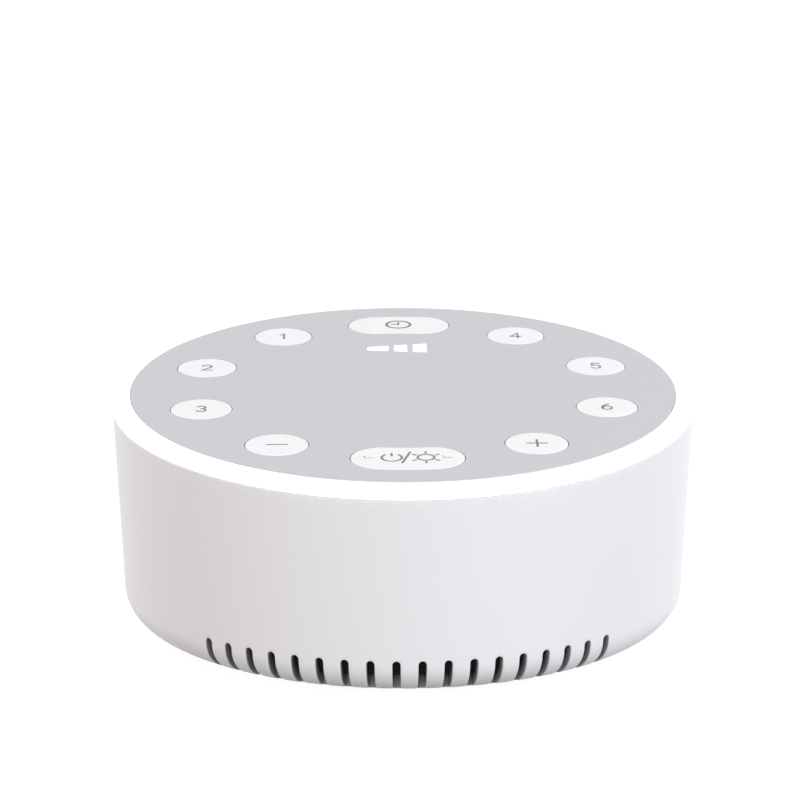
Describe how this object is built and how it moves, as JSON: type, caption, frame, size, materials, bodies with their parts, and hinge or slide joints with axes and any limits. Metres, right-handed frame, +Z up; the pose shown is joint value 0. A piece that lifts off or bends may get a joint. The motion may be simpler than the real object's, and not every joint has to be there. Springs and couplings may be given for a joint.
{
  "type": "white noise sound machine",
  "caption": "Round table-top white noise sound machine: slanted grey key panel, white keys, light ring, sound slots low at the front, power inlet at the rear.",
  "frame": {"origin": "on the surface it stands on, under the middle of the key panel", "axes": "+Z up, the front with the sound slots faces -Y, the power inlet faces +Y, +X to the right seen from the front"},
  "size_m": [0.1106, 0.1106, 0.0487],
  "materials": {
    "white_case": "fine satin moulded white",
    "base_plastic": "fine spark texture",
    "diffuser": "milky translucent",
    "grey_panel": "smooth satin pale grey",
    "key_white": "smooth satin white",
    "switch_black": "plain",
    "frame_white": "plain",
    "green_board": "solder mask",
    "led_white": "clear over phosphor",
    "socket_cream": "plain",
    "steel": "plated",
    "ferrite": "sintered",
    "speaker_paper": "pressed paper",
    "copper_coil": "enamelled copper wire",
    "soft_black": "soft",
    "rubber_grey": "matt",
    "mesh_black": "fine mesh",
    "cell_sleeve": "shrink sleeve",
    "clear_pipe": "clear",
    "lead_jacket": "flexible vinyl"
  },
  "bodies": {
    "case": {"outer_shell": "white_case", "base_plate": "base_plastic", "battery_holder": "base_plastic", "light_ring": "diffuser", "level_lens": "diffuser", "top_panel": "grey_panel", "switch_bodies": "switch_black", "level_light_shield": "switch_black", "usb_tongue": "switch_black", "controller_chip": "switch_black", "amplifier_chip": "switch_black", "inner_frame": "frame_white", "main_board": "green_board", "usb_board": "green_board", "ring_leds": "led_white", "level_leds": "led_white", "charge_led": "led_white", "board_sockets": "socket_cream", "base_screws": "steel", "frame_screws": "steel", "small_screws": "steel", "usb_shell": "steel", "battery_contacts": "steel", "speaker_basket": "steel", "speaker_top_plate": "steel", "speaker_yoke": "steel", "speaker_magnet": "ferrite", "speaker_surround": "soft_black", "speaker_spider": "soft_black", "speaker_gasket": "soft_black", "rubber_feet": "rubber_grey", "sound_mesh": "mesh_black", "battery_cell": "cell_sleeve", "charge_light_pipe": "clear_pipe", "speaker_lead": "lead_jacket", "battery_lead": "lead_jacket", "usb_lead": "lead_jacket"},
    "timer_key": {"timer_button": "key_white", "timer_plunger": "switch_black"},
    "sound_4_key": {"sound_4_button": "key_white", "sound_4_plunger": "switch_black"},
    "sound_5_key": {"sound_5_button": "key_white", "sound_5_plunger": "switch_black"},
    "sound_6_key": {"sound_6_button": "key_white", "sound_6_plunger": "switch_black"},
    "volume_up_key": {"volume_up_button": "key_white", "volume_up_plunger": "switch_black"},
    "power_key": {"power_button": "key_white", "power_plunger": "switch_black"},
    "volume_down_key": {"volume_down_button": "key_white", "volume_down_plunger": "switch_black"},
    "sound_3_key": {"sound_3_button": "key_white", "sound_3_plunger": "switch_black"},
    "sound_2_key": {"sound_2_button": "key_white", "sound_2_plunger": "switch_black"},
    "sound_1_key": {"sound_1_button": "key_white", "sound_1_plunger": "switch_black"},
    "speaker_diaphragm": {"speaker_cone": "speaker_paper", "dust_cap": "speaker_paper", "voice_coil": "copper_coil"}
  },
  "joints": [
    {"name": "timer_press", "type": "slide", "parent": "case", "child": "timer_key", "axis": [0, 0.0854, -0.9963], "range_m": [0, 0.0005], "stiffness_N_per_m": 800, "springref_m": -0.0006},
    {"name": "sound_4_press", "type": "slide", "parent": "case", "child": "sound_4_key", "axis": [0, 0.0854, -0.9963], "range_m": [0, 0.0005], "stiffness_N_per_m": 800, "springref_m": -0.0006},
    {"name": "sound_5_press", "type": "slide", "parent": "case", "child": "sound_5_key", "axis": [0, 0.0854, -0.9963], "range_m": [0, 0.0005], "stiffness_N_per_m": 800, "springref_m": -0.0006},
    {"name": "sound_6_press", "type": "slide", "parent": "case", "child": "sound_6_key", "axis": [0, 0.0854, -0.9963], "range_m": [0, 0.0005], "stiffness_N_per_m": 800, "springref_m": -0.0006},
    {"name": "volume_up_press", "type": "slide", "parent": "case", "child": "volume_up_key", "axis": [0, 0.0854, -0.9963], "range_m": [0, 0.0005], "stiffness_N_per_m": 800, "springref_m": -0.0006},
    {"name": "power_press", "type": "slide", "parent": "case", "child": "power_key", "axis": [0, 0.0854, -0.9963], "range_m": [0, 0.0005], "stiffness_N_per_m": 800, "springref_m": -0.0006},
    {"name": "volume_down_press", "type": "slide", "parent": "case", "child": "volume_down_key", "axis": [0, 0.0854, -0.9963], "range_m": [0, 0.0005], "stiffness_N_per_m": 800, "springref_m": -0.0006},
    {"name": "sound_3_press", "type": "slide", "parent": "case", "child": "sound_3_key", "axis": [0, 0.0854, -0.9963], "range_m": [0, 0.0005], "stiffness_N_per_m": 800, "springref_m": -0.0006},
    {"name": "sound_2_press", "type": "slide", "parent": "case", "child": "sound_2_key", "axis": [0, 0.0854, -0.9963], "range_m": [0, 0.0005], "stiffness_N_per_m": 800, "springref_m": -0.0006},
    {"name": "sound_1_press", "type": "slide", "parent": "case", "child": "sound_1_key", "axis": [0, 0.0854, -0.9963], "range_m": [0, 0.0005], "stiffness_N_per_m": 800, "springref_m": -0.0006},
    {"name": "speaker_stroke", "type": "slide", "parent": "case", "child": "speaker_diaphragm", "axis": [0, 0, 1], "range_m": [-0.001, 0.001], "stiffness_N_per_m": 1800, "deforming": ["speaker_surround", "speaker_spider"]}
  ]
}
